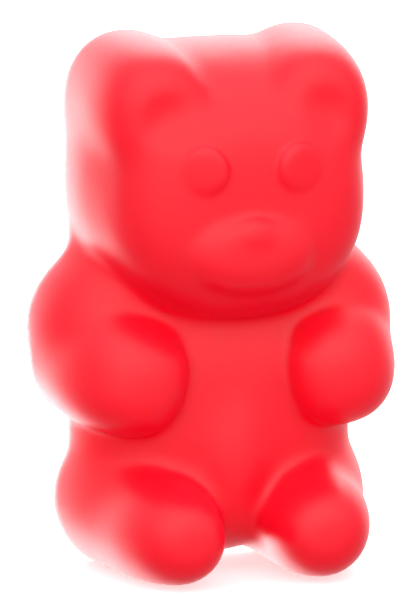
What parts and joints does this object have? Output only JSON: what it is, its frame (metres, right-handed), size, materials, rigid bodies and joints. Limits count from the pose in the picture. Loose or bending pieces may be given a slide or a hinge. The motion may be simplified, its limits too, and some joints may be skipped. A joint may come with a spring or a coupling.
{
  "type": "gummy bear",
  "caption": "Small translucent red gummy bear: a moulded sweet with a flat back, round ears, raised paws and two feet that it stands on.",
  "frame": {"origin": "on the floor under the middle of the bear's box: midway between its sides and midway between its flat back and its toes", "axes": "+Z from the feet to the ears, -Y is where the face looks, the flat back faces +Y, +X is the side to the right of someone facing the bear"},
  "size_m": [0.015, 0.0081, 0.0216],
  "materials": {
    "red_gummy": "matte, slightly frosted translucent red gelatine"
  },
  "bodies": {
    "root": {"gummy_bear": "red_gummy"}
  },
  "joints": []
}
